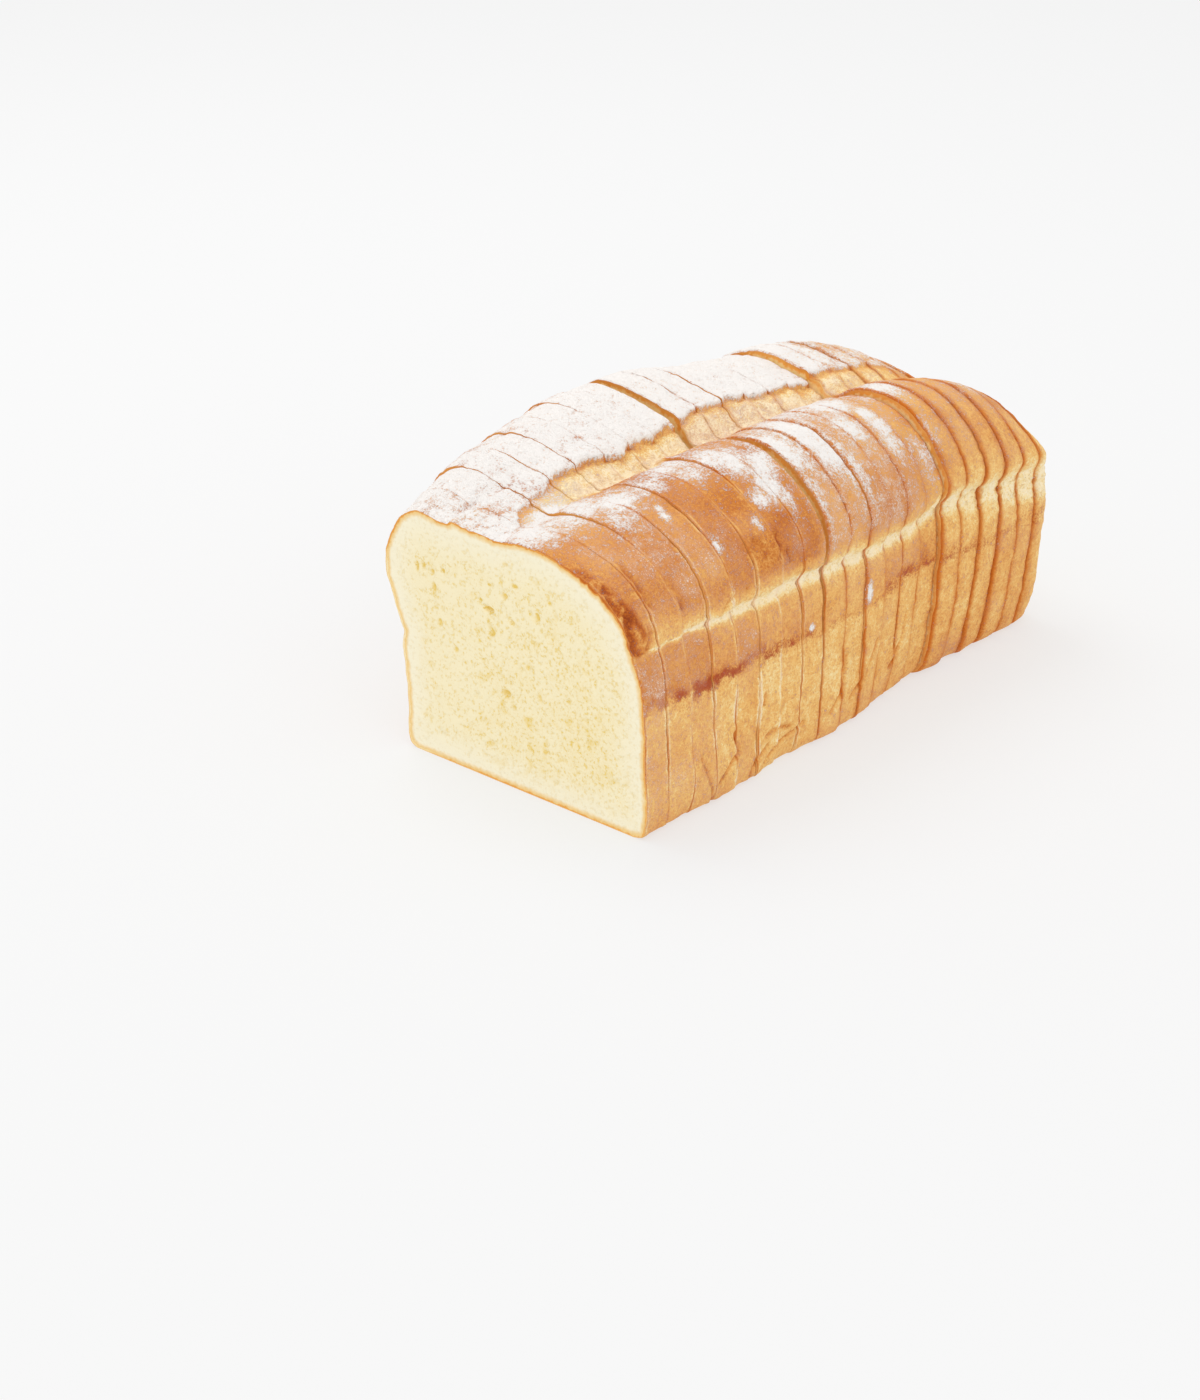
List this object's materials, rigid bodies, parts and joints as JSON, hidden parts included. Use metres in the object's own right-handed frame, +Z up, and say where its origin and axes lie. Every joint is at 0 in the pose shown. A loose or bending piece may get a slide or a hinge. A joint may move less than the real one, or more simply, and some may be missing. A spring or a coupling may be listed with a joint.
{
  "type": "sliced tin loaf",
  "caption": "Sliced white tin loaf with a split, floured top, its slices still standing together from a cut face at the front to a rounded heel at the back.",
  "frame": {"origin": "centre of the loaf's bounding box, on the surface that it stands on", "axes": "+Z up, +Y from the cut face along the loaf to the heel, +X to the right of someone facing the cut face"},
  "size_m": [0.1226, 0.2492, 0.1114],
  "materials": {
    "crust": "dry baked crust, matt, dusted with flour on the top",
    "crumb": "matt, pale cream crumb with small open pores"
  },
  "bodies": {
    "root": {"slice_01": "crumb", "slice_02": "crumb", "slice_03": "crumb", "slice_04": "crumb", "slice_05": "crumb", "slice_06": "crumb", "slice_07": "crumb", "slice_08": "crumb", "slice_09": "crumb", "slice_10": "crumb", "slice_11": "crumb", "slice_12": "crumb", "slice_13": "crumb", "slice_14": "crumb", "slice_15": "crumb", "slice_16": "crumb", "slice_17": "crumb", "slice_18": "crumb", "slice_19": "crumb", "heel": "crust"}
  },
  "joints": []
}
